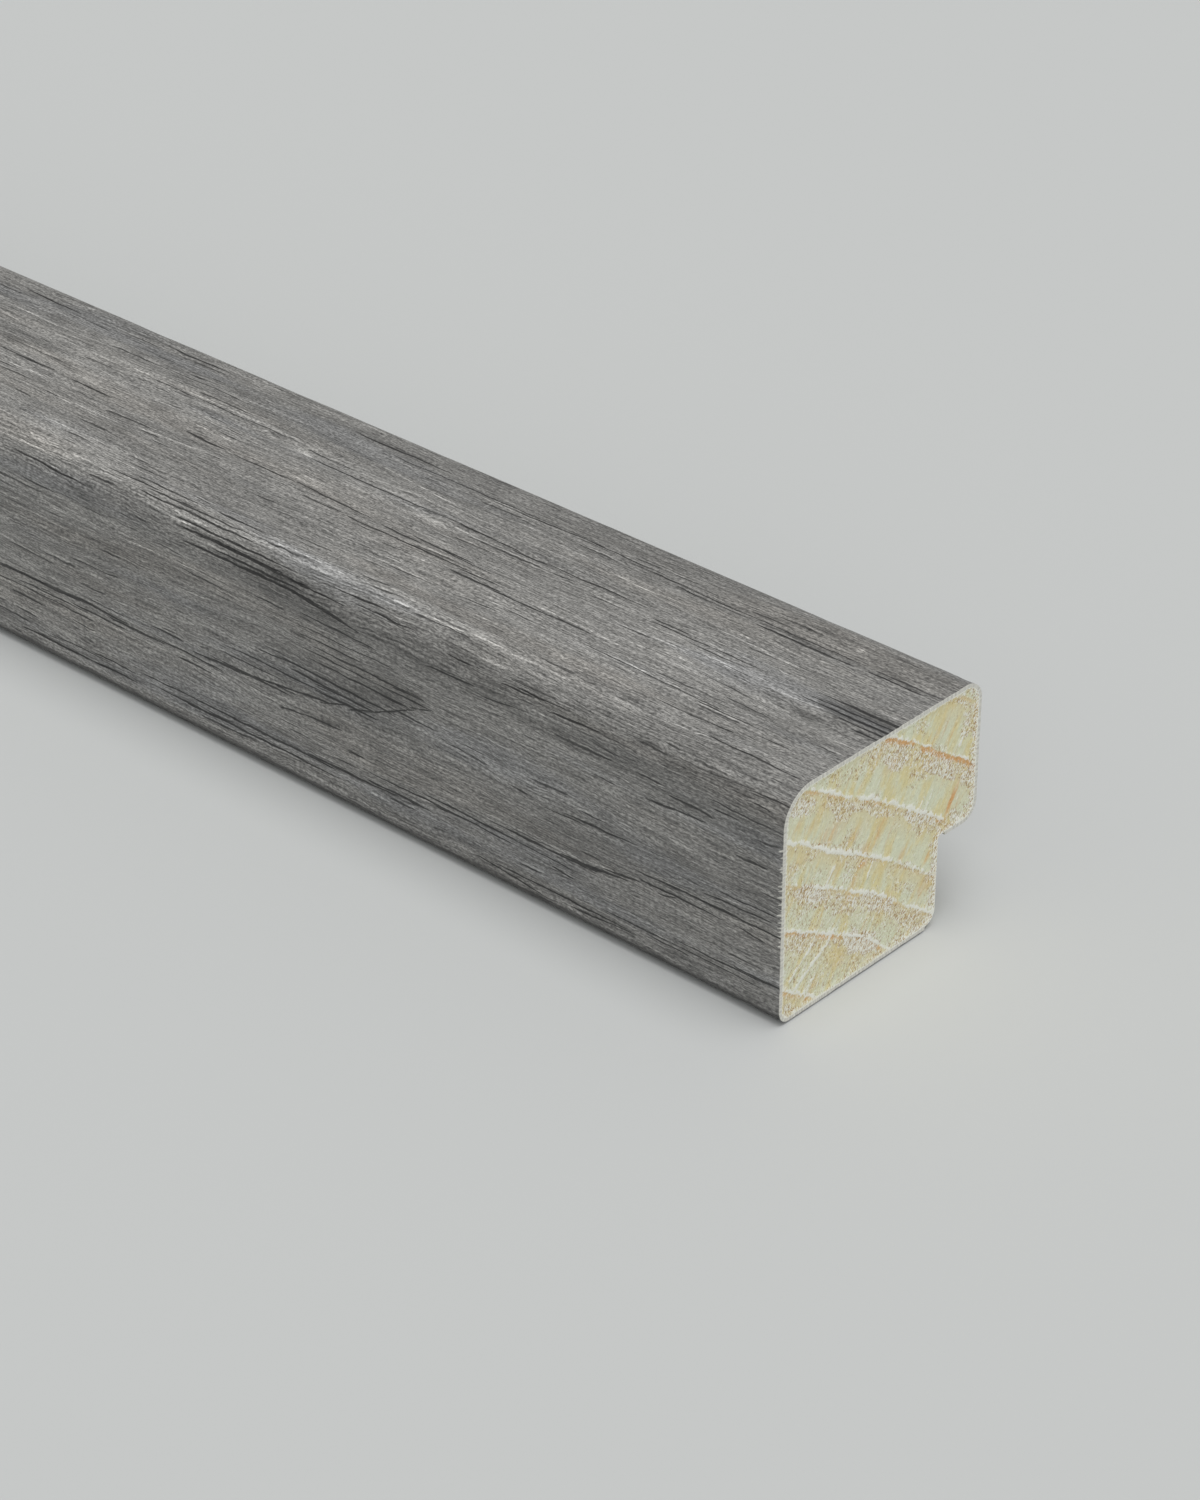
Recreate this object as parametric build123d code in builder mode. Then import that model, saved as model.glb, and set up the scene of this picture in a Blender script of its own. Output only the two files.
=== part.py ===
from build123d import *
import os

# End trim for an acoustic slat panel: a long L-shaped pine moulding wrapped in a decor foil.
# It lies on its wall face, its length along X, and its rounded show edge faces -Y and +Z.
# The rebate under the lip at +Y takes the felt backing of the panel that the trim closes off.

# Overall sizes of the finished moulding, in millimetres
length = 2400.0
width = 30.0
height = 26.0

# Rebate that receives the felt backing, measured from the wall and from the lip's outer face
rebate_height = 10.0
rebate_depth = 6.0

# Corner radii of the finished outline
show_edge_radius = 4.0
lip_top_radius = 2.5
lip_bottom_radius = 2.0
foot_radius = 1.5
heel_radius = 1.5
rebate_corner_radius = 0.5

# Decor foil glued round the core, and the strip of bare pine left beside the rebate's inner corner
foil_thickness = 0.4
foil_edge_gap = 0.6

# Places of the finished faces in the section, with the origin under the middle of the width
front_y = -width / 2
lip_y = width / 2
rebate_y = lip_y - rebate_depth

# Places of the core's faces, one foil thickness inside the finished ones
core_front_y = front_y + foil_thickness
core_lip_y = lip_y - foil_thickness
core_bottom_z = foil_thickness
core_top_z = height - foil_thickness
core_lip_z = rebate_height + foil_thickness

# The foil covers these core corners: foot, show edge, lip top and lip bottom
wrapped_corners = [
    (core_front_y, core_bottom_z),
    (core_front_y, core_top_z),
    (core_lip_y, core_top_z),
    (core_lip_y, core_lip_z),
]
wrapped_radii = [
    radius - foil_thickness
    for radius in (foot_radius, show_edge_radius, lip_top_radius, lip_bottom_radius)
]

# The foil starts on the wall face where the heel's rounding begins, and ends under the lip
foil_start = (rebate_y - heel_radius, core_bottom_z)
foil_end = (rebate_y + rebate_corner_radius + foil_edge_gap, core_lip_z)


def build_pine_core():
    """Machined softwood core: the L section with its rounded corners, sawn square at both ends."""
    with BuildPart() as core:
        with BuildSketch(Plane.YZ.offset(-length / 2)):
            with BuildLine():
                FilletPolyline(
                    *wrapped_corners,
                    (rebate_y, core_lip_z),
                    (rebate_y, core_bottom_z),
                    radius=[*wrapped_radii, rebate_corner_radius, heel_radius],
                    close=True,
                )
            make_face()
        extrude(amount=length)
    core.part.label = "pine_core"
    return core


def build_decor_foil():
    """Foil in one strip: under the wall face, up the front, over the top and round the lip."""
    with BuildPart() as foil:
        with BuildSketch(Plane.YZ.offset(-length / 2)):
            with BuildLine():
                FilletPolyline(foil_start, *wrapped_corners, foil_end, radius=wrapped_radii)
                offset(amount=foil_thickness, side=Side.RIGHT)
            make_face()
        extrude(amount=length)
    foil.part.label = "decor_foil"
    return foil


os.makedirs("parts", exist_ok=True)
for piece in (build_pine_core(), build_decor_foil()):
    export_step(piece.part, f"parts/{piece.part.label}.step")
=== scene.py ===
import math

import bpy
import numpy as np
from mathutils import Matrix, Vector, kdtree
from mathutils.geometry import delaunay_2d_cdt


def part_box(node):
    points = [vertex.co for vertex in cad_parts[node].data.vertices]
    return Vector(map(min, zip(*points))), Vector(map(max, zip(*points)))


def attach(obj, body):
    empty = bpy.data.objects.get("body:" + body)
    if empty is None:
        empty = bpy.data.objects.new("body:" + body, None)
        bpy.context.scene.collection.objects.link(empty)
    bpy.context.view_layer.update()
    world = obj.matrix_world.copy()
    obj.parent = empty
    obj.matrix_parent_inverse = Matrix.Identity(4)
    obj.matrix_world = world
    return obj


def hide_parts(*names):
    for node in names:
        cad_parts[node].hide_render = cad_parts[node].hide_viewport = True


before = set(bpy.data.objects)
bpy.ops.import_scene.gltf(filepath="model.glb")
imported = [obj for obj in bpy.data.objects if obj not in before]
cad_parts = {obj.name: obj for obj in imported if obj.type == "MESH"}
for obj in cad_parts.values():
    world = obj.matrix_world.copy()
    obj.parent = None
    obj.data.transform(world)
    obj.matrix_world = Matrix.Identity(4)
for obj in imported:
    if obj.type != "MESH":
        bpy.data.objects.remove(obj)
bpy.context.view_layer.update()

# Pine core
# One length of softwood, machined to an L section with rounded corners and sawn square at both ends. The saw
# tears its fibres white along the rings and round the rim. Only the rebate's upright face stays bare.
# Sizes are in millimetres, with Y and Z as in the frame.
mm = 0.001
core_low, core_high = (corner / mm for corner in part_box("pine_core"))
foil_low, foil_high = (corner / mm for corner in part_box("decor_foil"))
foil_thickness = core_low.z - foil_low.z
rebate_height = 10.0
rebate_depth = 6.0
rebate_y = foil_high.y - rebate_depth
show_edge_radius = 4.0
lip_top_radius = 2.5
lip_bottom_radius = 2.0
foot_radius = 1.5
heel_radius = 1.5
rebate_corner_radius = 0.5
sawn_pitch = 0.17

# Growth rings as they lie in the section: where the pith was, and how far each ring's outer line is from it
pith_y, pith_z = -90.7, -129.8
ring_radii = [147.5, 153.7, 160.1, 164.7, 168.5, 174.0, 179.9, 185.7, 191.5]
middle_radius = 170.0

# How far the saw left the wood below the flat of the cut, and how wide its torn fibres lie
sawn_hollow = 0.12
torn_line_width = 0.22
torn_rim_width = 0.3

# For each ring, in the order of ring_radii: how bold its dark line and its torn white line are, and how wide
# the late wood inside it is
ring_boldness = [0.5, 0.6, 0.7, 0.35, 0.3, 0.6, 1.1, 0.35, 0.3]
ring_tears = [0.8, 0.8, 0.9, 1.0, 1.3, 1.2, 0.7, 0.5, 0.5]
late_wood_widths = [2.0, 1.6, 3.0, 3.2, 1.6, 2.6, 3.2, 2.5, 2.0]

# Tears that the saw drew across the rings: where each starts and where it ends, from the front and from the
# wall face, and its width
saw_tears = [
    (2.3, 3.2, 4.8, 4.8, 0.25), (4.8, 4.8, 7.0, 6.0, 0.3), (7.0, 6.0, 8.0, 7.3, 0.25),
    (1.4, 4.4, 4.4, 6.8, 0.15), (3.2, 1.8, 5.4, 3.4, 0.12), (4.2, 6.4, 5.6, 8.4, 0.15),
    (6.6, 13.0, 7.8, 14.6, 0.2), (12.9, 10.8, 13.8, 12.4, 0.12), (26.9, 19.6, 27.6, 20.6, 0.25),
    (20.0, 13.8, 21.6, 16.2, 0.1), (21.6, 14.2, 22.8, 16.2, 0.1),
]

# Where the saw left the wood roughest: place from the front and from the wall face, length along the rings,
# width across them, and strength
rough_patches = [
    (2.5, 23.8, 2.4, 1.2, 0.9), (9.0, 20.8, 4.0, 0.8, 0.8), (14.5, 17.6, 3.0, 0.7, 0.7),
    (21.5, 13.6, 4.0, 1.1, 0.9), (17.0, 22.4, 2.6, 1.4, 0.85), (24.0, 18.2, 4.0, 1.3, 0.85),
    (28.2, 15.4, 1.6, 1.2, 0.8), (27.0, 11.3, 2.6, 0.7, 0.8), (4.5, 12.9, 3.8, 1.6, 0.95),
    (14.5, 7.3, 4.6, 1.2, 0.95), (11.0, 9.0, 1.3, 0.7, 0.95), (7.0, 17.1, 4.0, 0.7, 0.6),
    (12.6, 13.4, 3.6, 0.6, 0.6), (4.0, 8.0, 3.2, 1.3, 0.75), (12.5, 3.6, 4.2, 1.6, 1.0),
    (20.6, 2.2, 2.4, 1.6, 0.75), (1.5, 1.2, 1.8, 0.8, 0.8), (28.6, 21.6, 1.4, 2.4, 0.7),
    (20.0, 8.6, 3.0, 0.6, 0.6),
]

# Resin-rich patches that lean across the rings: place from the front and from the wall face, width, height,
# and strength
resin_lean = 0.57
resin_patches = [
    (26.0, 13.6, 0.5, 1.8, 1.0), (26.8, 13.0, 1.3, 1.3, 0.35), (14.6, 15.4, 0.8, 1.7, 0.5),
    (15.3, 16.3, 0.25, 1.3, 0.6), (12.8, 14.2, 1.8, 1.2, 0.42), (12.2, 12.8, 0.8, 0.6, 0.75),
    (10.6, 11.0, 0.8, 1.8, 0.4), (10.3, 9.9, 0.25, 0.7, 0.7), (9.4, 8.8, 0.35, 0.6, 0.55),
    (7.0, 18.6, 2.8, 1.5, 0.4), (10.6, 16.6, 2.2, 1.3, 0.38), (4.0, 20.6, 1.6, 1.0, 0.3),
    (18.4, 10.9, 0.7, 0.9, 0.5), (22.5, 8.6, 0.4, 0.9, 0.6), (22.0, 5.2, 1.6, 1.7, 0.4),
    (25.6, 21.6, 0.35, 1.7, 0.45), (24.0, 22.6, 1.2, 1.4, 0.3), (2.0, 21.6, 0.9, 1.1, 0.32),
    (2.2, 17.4, 1.8, 1.0, 0.32), (7.8, 14.0, 1.6, 0.9, 0.3), (5.0, 2.2, 1.1, 0.9, 0.32),
    (4.2, 1.2, 0.4, 0.35, 0.9), (9.0, 3.2, 2.0, 1.3, 0.28), (16.3, 22.2, 1.6, 1.1, 0.4),
    (21.6, 19.6, 1.6, 0.9, 0.36), (16.0, 6.4, 1.6, 1.0, 0.26), (5.4, 8.6, 2.4, 0.8, 0.3),
    (19.5, 3.0, 1.4, 1.0, 0.3),
]

# Colours of the wood, as a screen shows them
early_wood = (218, 221, 194)
golden_wood = (221, 210, 158)
late_wood = (219, 201, 151)
resin_orange = (216, 169, 115)
torn_white = (236, 237, 228)
speckle_brown = (163, 130, 88)


def rounded_path(corners, radii, pitches):
    """Walks a section with its outside on the left, rounding each corner but the first and the last.

    Gives the points, their outward normals and the distance walked. Each straight run has its own pitch."""
    points, normals = [], []

    def straight_run(start, end, pitch):
        size = np.linalg.norm(end - start)
        ahead = (end - start) / size
        left = np.array([-ahead[1], ahead[0]])
        for step in range(max(1, round(size / pitch))):
            points.append(start + ahead * size * step / max(1, round(size / pitch)))
            normals.append(left)
        return left

    corners = [np.array(corner, float) for corner in corners]
    start = corners[0]
    for index, radius in enumerate(radii, 1):
        back = corners[index - 1] - corners[index]
        ahead = corners[index + 1] - corners[index]
        back, ahead = back / np.linalg.norm(back), ahead / np.linalg.norm(ahead)
        left = straight_run(start, corners[index] + radius * back, pitches[index - 1])
        centre = corners[index] + radius * (back + ahead)
        side = -np.sign(ahead @ left)
        steps = max(4, round(radius * math.pi / 2 / min(pitches[index - 1], pitches[index])))
        for step in range(steps):
            angle = math.pi / 2 * step / steps
            outward = -ahead * math.cos(angle) - back * math.sin(angle)
            points.append(centre + radius * outward)
            normals.append(side * outward)
        start = corners[index] + radius * ahead
    straight_run(start, corners[-1], pitches[-1])
    points.append(corners[-1])
    normals.append(normals[-1])
    points = np.array(points)
    walked = np.concatenate([[0], np.linalg.norm(np.diff(points, axis=0), axis=1).cumsum()])
    return points, np.array(normals), walked


def blotches(along, across, seed):
    """A smooth random field from 0 to 1, whose blotches are one unit long and one unit wide."""
    column, row = np.floor(along).astype(int), np.floor(across).astype(int)
    part_along, part_across = along - column, across - row
    part_along = part_along * part_along * (3 - 2 * part_along)
    part_across = part_across * part_across * (3 - 2 * part_across)
    column, row = column - column.min(), row - row.min()
    table = np.random.default_rng(seed).random((column.max() + 2, row.max() + 2))
    lower = table[column, row] * (1 - part_along) + table[column + 1, row] * part_along
    upper = table[column, row + 1] * (1 - part_along) + table[column + 1, row + 1] * part_along
    return lower * (1 - part_across) + upper * part_across


def ramp(value, low, high):
    """0 below low, 1 above high, and smooth between them."""
    part = np.clip((value - low) / (high - low), 0, 1)
    return part * part * (3 - 2 * part)


def pine_at(points):
    """For points of the section: place round the pith, distance from it, and the rings grown by there."""
    round_pith = np.arctan2(points[:, 1] - pith_z, points[:, 0] - pith_y) * middle_radius
    radius = np.hypot(points[:, 0] - pith_y, points[:, 1] - pith_z)
    wobble = 0.7 * (blotches(round_pith / 6, radius / 9, 3) - 0.5)
    wobble += 0.25 * (blotches(round_pith / 1.1, radius / 4, 4) - 0.5)
    return round_pith, radius, np.interp(radius + wobble, ring_radii, range(len(ring_radii)))


def ring_lines(points):
    """For points of the section: the ring, how far past its inner line, and how far short of the next."""
    age = pine_at(points)[2]
    ring = np.floor(age).astype(int).clip(0, len(ring_radii) - 2)
    width = np.diff(ring_radii)[ring]
    return ring, (age - ring) * width, (ring + 1 - age) * width


def torn_fibres(points, rim, seed):
    """How far torn fibres cover the cut, from 0 to 1: on ring lines, round the rim, and on some rays."""
    round_pith, radius, _ = pine_at(points)
    ring, past_ring, to_ring = ring_lines(points)
    patchy = blotches(round_pith / 3.5, radius / 3.5, seed)
    ragged = blotches(round_pith / 0.6, radius / 0.6, seed + 4)
    bold = np.array(ring_tears)[np.where(past_ring < to_ring, ring, ring + 1)]
    frayed = blotches(round_pith / 0.32, radius / 0.5, seed + 8)
    line_width = torn_line_width * bold * (0.25 + 0.75 * ragged + 0.75 * frayed)
    off_line = np.where(past_ring < to_ring, past_ring, -to_ring) - 0.2 * line_width - 0.3 * (frayed - 0.5)
    whole = ramp(0.5 * patchy + 0.3 * ragged + 0.2 * frayed, 0.15, 0.5)
    line = np.exp(-((off_line / line_width) ** 2)) * whole
    edge = 0.75 * np.exp(-((rim / (torn_rim_width * (0.4 + ragged))) ** 2))
    from_corner = np.hypot(points[:, 0] - core_low.y, 1.2 * (points[:, 1] - core_low.z))
    low_corner = ramp(9 - from_corner, 0, 5)
    ray = blotches(round_pith / 0.35, radius / 4, seed + 3)
    ray = ramp(ray + 0.25 * low_corner, 0.85, 1.05) * (0.3 + 0.4 * ragged)
    tear = np.zeros(len(points))
    for start_across, start_up, end_across, end_up, width in saw_tears:
        start = np.array([foil_low.y + start_across, foil_low.z + start_up])
        along = np.array([end_across - start_across, end_up - start_up])
        part = ((points - start) @ along / (along @ along)).clip(0, 1)
        off = np.linalg.norm(points - start - part[:, None] * along, axis=1)
        tear = np.maximum(tear, 0.9 * np.exp(-((off / (width * (0.5 + ragged))) ** 2)))
    return np.clip(np.maximum.reduce([line, edge, ray, tear]), 0, 1)


def fuzz_at(points, rim, seed):
    """How thick the fuzz of white and brown fibre ends lies, from 0 to 1: in late wood and at the rim."""
    round_pith, radius, _ = pine_at(points)
    ring, _, to_ring = ring_lines(points)
    patchy = blotches(round_pith / 5, radius / 4, seed + 5)
    ragged = blotches(round_pith / 0.7, radius / 0.7, seed + 6)
    late_width = np.array(late_wood_widths)[ring + 1] * (0.45 + 0.8 * patchy) * (0.5 + 0.9 * ragged)
    late = 0.7 * ramp(late_width - to_ring, 0, 1.2) * (0.4 + 0.6 * ramp(to_ring, 0.2, 0.6))
    for across, up, long, wide, strength in rough_patches:
        centre = np.array([[foil_low.y + across, foil_low.z + up]])
        centre_round, centre_radius, _ = pine_at(centre)
        spread = ((round_pith - centre_round) / long) ** 2 + ((radius - centre_radius) / wide) ** 2
        patch = strength * ramp(1.5 - spread - 0.9 * ragged - 0.4 * patchy, 0, 0.5)
        late = np.maximum(late, patch)
    lip_side = ramp(points[:, 0] - 0.5 * points[:, 1], -4, 4)
    edge = np.exp(-((rim / (0.25 + 2.0 * ragged * lip_side)) ** 2)) * (0.5 + 0.5 * lip_side)
    stray = 0.55 * ramp(blotches(round_pith / 2.5, radius / 2, seed + 7), 0.5, 0.85)
    low_side = 0.08 + 0.34 * ramp(-radius, -168.5, -163)
    return np.clip(np.maximum.reduce([late, edge, stray, low_side]), 0, 1)


def resin_at(points):
    """How much resin colours the wood, from the patches and from each ring's dark line."""
    from_front, over_wall = points[:, 0] - foil_low.y, points[:, 1] - foil_low.z
    resin = np.zeros(len(points))
    for across, up, width, height, strength in resin_patches:
        lean = resin_lean * (over_wall - up)
        spread = ((from_front - across - lean) / width) ** 2 + ((over_wall - up) / height) ** 2
        resin = np.maximum(resin, strength * np.exp(-spread))
    ring, _, to_ring = ring_lines(points)
    bold = np.array(ring_boldness)[ring + 1]
    patchy = 0.65 * blotches(points[:, 0] / 2.2, points[:, 1] / 2.2, 8)
    patchy += 0.35 * blotches(points[:, 0] / 0.5, points[:, 1] / 0.5, 9)
    line_width = (0.15 + 0.4 * patchy) * (0.5 + 0.6 * bold)
    dark_line = np.exp(-(((to_ring - 0.3) / line_width) ** 2)) * ramp(patchy, 0.2, 0.55)
    return np.maximum(resin, bold * dark_line)


wall_middle = (0.0, core_low.z)
core_corners = [
    wall_middle,
    (core_low.y, core_low.z),
    (core_low.y, core_high.z),
    (core_high.y, core_high.z),
    (core_high.y, rebate_height + foil_thickness),
    (rebate_y, rebate_height + foil_thickness),
    (rebate_y, core_low.z),
    wall_middle,
]
wrapped_radii = [foot_radius, show_edge_radius, lip_top_radius, lip_bottom_radius]
core_radii = [radius - foil_thickness for radius in wrapped_radii] + [rebate_corner_radius, heel_radius]
outline, _, outline_walk = rounded_path(core_corners, core_radii, [sawn_pitch] * len(core_corners))
outline, rim_count = outline[:-1], len(outline) - 1

# The sawn face: the outline filled with a jittered grid of points, kept a little clear of the rim
jitter, clear_of_rim = 0.3, 0.6
columns_y = np.arange(core_low.y, core_high.y, sawn_pitch)
rows_z = np.arange(core_low.z, core_high.z, sawn_pitch)
grid_y, grid_z = np.meshgrid(columns_y, rows_z)
inner = np.stack([grid_y.ravel(), grid_z.ravel()], 1)
inner += np.random.default_rng(5).uniform(-jitter, jitter, inner.shape) * sawn_pitch
rim_tree = kdtree.KDTree(rim_count)
for index, point in enumerate(outline):
    rim_tree.insert((*point, 0), index)
rim_tree.balance()
inner = np.array([point for point in inner if rim_tree.find((*point, 0))[2] > clear_of_rim * sawn_pitch])
rim_edges = [(index, (index + 1) % rim_count) for index in range(rim_count)]
filled = delaunay_2d_cdt([Vector(point) for point in [*outline, *inner]], rim_edges, [], 1, 1e-6)
sawn_points = np.array([tuple(point) for point in filled[0]])
sawn_faces = [tuple(face) for face in filled[2]]
rim_of = {}
for vertex, origins in enumerate(filled[3]):
    rim_of.update({origin: vertex for origin in origins if origin < rim_count})
rim = [rim_of[index] for index in range(rim_count)]
rim_distance = np.array([rim_tree.find((*point, 0))[2] for point in sawn_points])

# Both sawn ends, with each point sunk below the cut by as much as its fibres aren't torn up
points, torn, fuzz, faces, materials, face_maps = [], [], [], [], [], []
sawn_count = len(sawn_points)
end_map_size = 0.48
end_map_corners = ((0.01, 0.56), (0.51, 0.56))
low = np.array([core_low.y, core_low.z])
for end, (place, inwards) in enumerate(((core_high.x, -1), (core_low.x, 1))):
    tear = torn_fibres(sawn_points, rim_distance, 20 + 10 * end)
    roughness = blotches(sawn_points[:, 0] / 0.25, sawn_points[:, 1] / 0.25, 60 + end)
    sink = sawn_hollow * (1 - 0.75 * tear) * (0.55 + 0.45 * roughness) * ramp(rim_distance, 0.0, 0.7)
    points.append(np.column_stack([place + inwards * sink, sawn_points]))
    torn.append(tear)
    fuzz.append(fuzz_at(sawn_points, rim_distance, 20 + 10 * end))
    place_on_map = (sawn_points - low) / (core_high.y - core_low.y) * end_map_size
    place_on_map += np.array(end_map_corners[end])
    for face in sawn_faces:
        turned = face if (end == 0) else face[::-1]
        faces.append(tuple(vertex + end * sawn_count for vertex in turned))
        face_maps.append(place_on_map[list(turned)])
        materials.append(0)

# The planed sides, in four lengths between the two rims
side_count = 4
rows = [rim]
for step in range(1, side_count):
    place = core_high.x + (core_low.x - core_high.x) * step / side_count
    rows.append([2 * sawn_count + (step - 1) * rim_count + index for index in range(rim_count)])
    points.append(np.column_stack([np.full(rim_count, place), outline]))
    torn.append(np.zeros(rim_count))
    fuzz.append(np.zeros(rim_count))
rows.append([vertex + sawn_count for vertex in rim])


def walk_to(y, z):
    """How far round the core's outline its point nearest to a place lies."""
    return outline_walk[np.argmin(np.hypot(*(outline - [y, z]).T))]


# The bake's layout gives the bare side a wide band in each length, and what the foil hides a narrow one
bare_under_lip, bare_under_heel = 1.2, 1.6
lip_walk = walk_to(rebate_y + bare_under_lip, rebate_height + foil_thickness)
heel_walk = walk_to(rebate_y - bare_under_heel, core_low.z)
bare_start, bare_step, bare_band = 0.01, 0.1, 0.085
hidden_start, hidden_step, hidden_band = 0.42, 0.03, 0.02
map_left, map_right = 0.01, 0.99
for step in range(side_count):
    for index in range(rim_count):
        after = (index + 1) % rim_count
        start, end = outline_walk[index], outline_walk[index + 1]
        faces.append((rows[step][index], rows[step][after], rows[step + 1][after], rows[step + 1][index]))
        if lip_walk <= start and end <= heel_walk:
            part = (np.array([start, end]) - lip_walk) / (heel_walk - lip_walk)
            low_v, high_v = part * bare_band + bare_start + bare_step * step
        else:
            part = np.array([start, end]) / outline_walk[-1]
            low_v, high_v = part * hidden_band + hidden_start + hidden_step * step
        face_maps.append([(map_left, low_v), (map_left, high_v), (map_right, high_v), (map_right, low_v)])
        materials.append(1)


def build_piece(name, points, faces, face_maps, smooth_angle):
    """A mesh piece from points in millimetres, with the layout that the bake of its finish uses."""
    mesh = bpy.data.meshes.new(name)
    mesh.from_pydata((np.asarray(points) * mm).tolist(), [], faces)
    layer = mesh.uv_layers.new(name="OFBake")
    corners = np.concatenate([np.asarray(face_map, float) for face_map in face_maps])
    layer.uv.foreach_set("vector", corners.astype(np.float32).ravel())
    mesh.shade_smooth()
    mesh.set_sharp_from_angle(angle=math.radians(smooth_angle))
    piece = bpy.data.objects.new(name, mesh)
    bpy.context.scene.collection.objects.link(piece)
    return piece


def note_on_points(piece, name, values):
    """Keeps a number or a place for each point of the mesh, for its finish to read."""
    values = np.asarray(values, np.float32)
    kind, field = ("FLOAT", "value") if values.ndim == 1 else ("FLOAT_VECTOR", "vector")
    piece.data.attributes.new(name, kind, "POINT").data.foreach_set(field, values.ravel())


points = np.concatenate(points)
pine_core = build_piece("planed_pine_core", points, faces, face_maps, 50)
round_pith, radius, age = pine_at(points[:, 1:])
note_on_points(pine_core, "grain_place", np.column_stack([points[:, 0], round_pith, radius]))
note_on_points(pine_core, "ring_age", age)
note_on_points(pine_core, "torn_fibre", np.concatenate(torn))
note_on_points(pine_core, "fine_fuzz", np.concatenate(fuzz))
note_on_points(pine_core, "resin", resin_at(points[:, 1:]))
pine_core.data.polygons.foreach_set("material_index", materials)


def paint(red, green, blue):
    """The light that a surface gives back, from its colour as a screen shows it, each part 0 to 255."""
    parts = [part / 255 for part in (red, green, blue)]
    return [part / 12.92 if part <= 0.04045 else ((part + 0.055) / 1.055) ** 2.4 for part in parts] + [1.0]


def new_finish(name, roughness):
    """A material, with its node tree and its surface shader."""
    finish = bpy.data.materials.new(name)
    finish.use_nodes = True
    shader = finish.node_tree.nodes["Principled BSDF"]
    shader.inputs["Roughness"].default_value = roughness
    return finish, finish.node_tree, shader


def add_node(tree, kind, inputs, **settings):
    """Adds a node, sets it, and fills its inputs with numbers or with other nodes' outputs."""
    made = tree.nodes.new(kind)
    for name, value in settings.items():
        setattr(made, name, value)
    for socket, value in inputs.items():
        if isinstance(value, bpy.types.NodeSocket):
            tree.links.new(value, made.inputs[socket])
        else:
            made.inputs[socket].default_value = value
    return made


def math_of(tree, operation, *values):
    return add_node(tree, "ShaderNodeMath", dict(enumerate(values)), operation=operation).outputs[0]


def between(tree, value, low, high, to_low=0.0, to_high=1.0):
    """value, carried smoothly from low and high to to_low and to_high, and held beyond them."""
    inputs = {"Value": value, "From Min": low, "From Max": high, "To Min": to_low, "To Max": to_high}
    return add_node(tree, "ShaderNodeMapRange", inputs, interpolation_type="SMOOTHSTEP").outputs["Result"]


def blend(tree, factor, under, over, how="MIX"):
    """One colour over another, by a factor."""
    inputs = {"Factor": factor, 6: under, 7: over}
    return add_node(tree, "ShaderNodeMix", inputs, data_type="RGBA", blend_type=how).outputs[2]


def streaks(tree, place, length, width, detail=2.0, roughness=0.5, depth=1.0, shift=0.0):
    """Noise whose blotches are length by width, in the units of place."""
    inputs = {"Vector": place, "Scale": (1 / length, 1 / width, 1 / depth), "Location": (shift, shift, shift)}
    at = add_node(tree, "ShaderNodeMapping", inputs).outputs[0]
    inputs = {"Vector": at, "Scale": 1.0, "Detail": detail, "Roughness": roughness}
    return add_node(tree, "ShaderNodeTexNoise", inputs).outputs["Fac"]


def read_note(tree, name):
    return add_node(tree, "ShaderNodeAttribute", {}, attribute_name=name)


def grey_of(tree, value):
    return add_node(tree, "ShaderNodeCombineColor", {0: value, 1: value, 2: value}).outputs[0]


def carried(tree, noise, low, high):
    """A noise, carried to low and high from the two values that it mostly stays between."""
    return between(tree, noise, 0.3, 0.7, low, high)


def add_share(tree, value, noise, share):
    """value, pushed up or down by a share of a noise round its middle."""
    off_middle = math_of(tree, "SUBTRACT", noise, 0.5)
    return math_of(tree, "ADD", value, math_of(tree, "MULTIPLY", off_middle, share))


def pine_colour(tree, ray_strength):
    """Pale early wood, golden towards each ring's late wood, with rays and resin across the rings."""
    place = read_note(tree, "grain_place").outputs["Vector"]
    phase = math_of(tree, "FRACT", read_note(tree, "ring_age").outputs["Fac"])
    late = between(tree, phase, 0.3, 0.9, 0.0, 0.5)
    gold = streaks(tree, place, length=500, width=1.6, detail=3, roughness=0.6, depth=5)
    colour = blend(tree, between(tree, gold, 0.44, 0.66, 0.0, 0.9), paint(*early_wood), paint(*golden_wood))
    colour = blend(tree, late, colour, paint(*late_wood))
    rays = streaks(tree, place, length=400, width=0.35, detail=3, roughness=0.6, depth=8, shift=7)
    colour = blend(tree, between(tree, rays, 0.55, 0.75, 0.0, ray_strength), colour, paint(*resin_orange))
    rays = streaks(tree, place, length=400, width=0.25, detail=3, roughness=0.65, depth=3, shift=3)
    colour = blend(tree, between(tree, rays, 0.55, 0.75, 0.0, ray_strength), colour, paint(*torn_white))
    grain = streaks(tree, place, length=500, width=0.25, detail=3, roughness=0.65, depth=1.4, shift=2)
    grain = between(tree, grain, 0.35, 0.65, 0.45, 1.1)
    resin = math_of(tree, "MULTIPLY", read_note(tree, "resin").outputs["Fac"], grain)
    return blend(tree, between(tree, resin, 0.02, 0.85), colour, paint(*resin_orange)), place


def covered(tree, thick, noise, spread, sharp):
    """Where a noise of small grains reaches over a surface that they cover to the share thick."""
    return between(tree, add_share(tree, thick, noise, spread), 0.5 - sharp, 0.5 + sharp)


def lay_grains(tree, cover, strength, colour, grain_colour):
    """The colour, with grains of another colour laid over it where they cover it."""
    return blend(tree, math_of(tree, "MULTIPLY", cover, strength), colour, paint(*grain_colour))


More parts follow.
